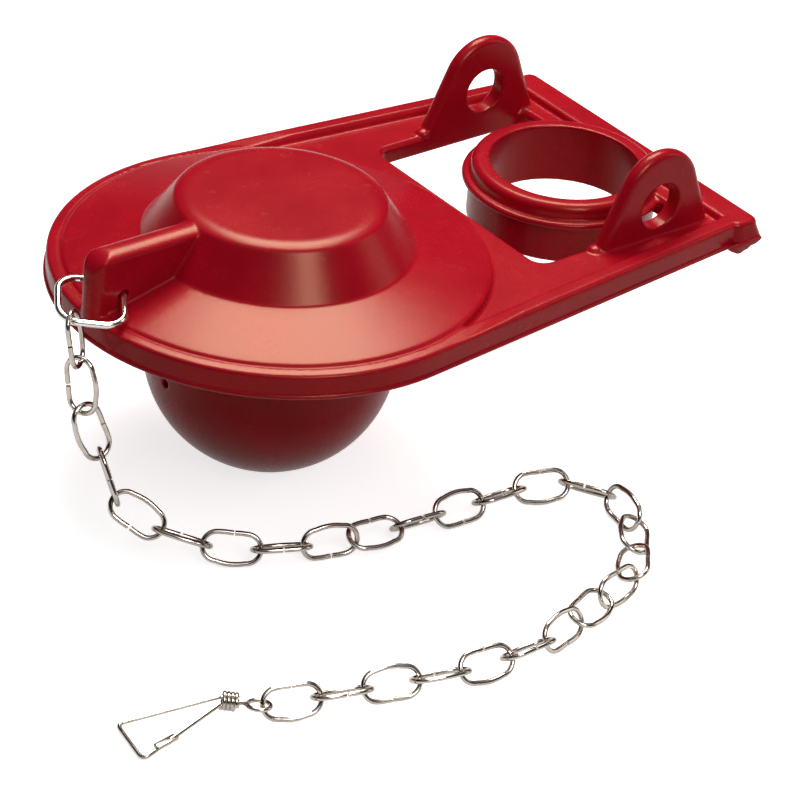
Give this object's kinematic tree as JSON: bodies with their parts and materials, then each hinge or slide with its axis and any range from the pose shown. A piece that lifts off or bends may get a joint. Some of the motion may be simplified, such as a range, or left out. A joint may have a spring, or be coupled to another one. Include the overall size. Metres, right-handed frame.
{
  "type": "toilet flapper",
  "caption": "Moulded rubber cistern flapper with a hollow bulb, an overflow-tube collar, two pivot ears and a steel lift chain with a hook clip.",
  "frame": {"origin": "centre of the sealing face, in the plane of the plate's flat underside that lies on the valve seat", "axes": "-Z towards the valve seat and the bulb, -X towards the lifting tab and the chain, +X towards the collar and the ears"},
  "size_m": [0.1631, 0.1254, 0.0582],
  "materials": {
    "red_rubber": "satin moulded red rubber",
    "bright_wire": "bright steel wire",
    "chain_wire": "plain nickel-toned steel wire"
  },
  "bodies": {
    "root": {"flapper_body": "red_rubber", "tab_link": "bright_wire", "chain_link_01": "chain_wire", "chain_link_02": "chain_wire", "chain_link_03": "chain_wire", "chain_link_04": "chain_wire", "chain_link_05": "chain_wire", "chain_link_06": "chain_wire", "chain_link_07": "chain_wire", "chain_link_08": "chain_wire", "chain_link_09": "chain_wire", "chain_link_10": "chain_wire", "chain_link_11": "chain_wire", "chain_link_12": "chain_wire", "chain_link_13": "chain_wire", "chain_link_14": "chain_wire", "chain_link_15": "chain_wire", "chain_link_16": "chain_wire", "chain_link_17": "chain_wire", "chain_link_18": "chain_wire", "chain_link_19": "chain_wire", "chain_link_20": "chain_wire", "chain_link_21": "chain_wire", "chain_link_22": "chain_wire", "chain_link_23": "chain_wire", "chain_link_24": "chain_wire", "chain_link_25": "chain_wire", "chain_link_26": "chain_wire", "chain_link_27": "chain_wire", "hook_clip": "chain_wire"}
  },
  "joints": []
}
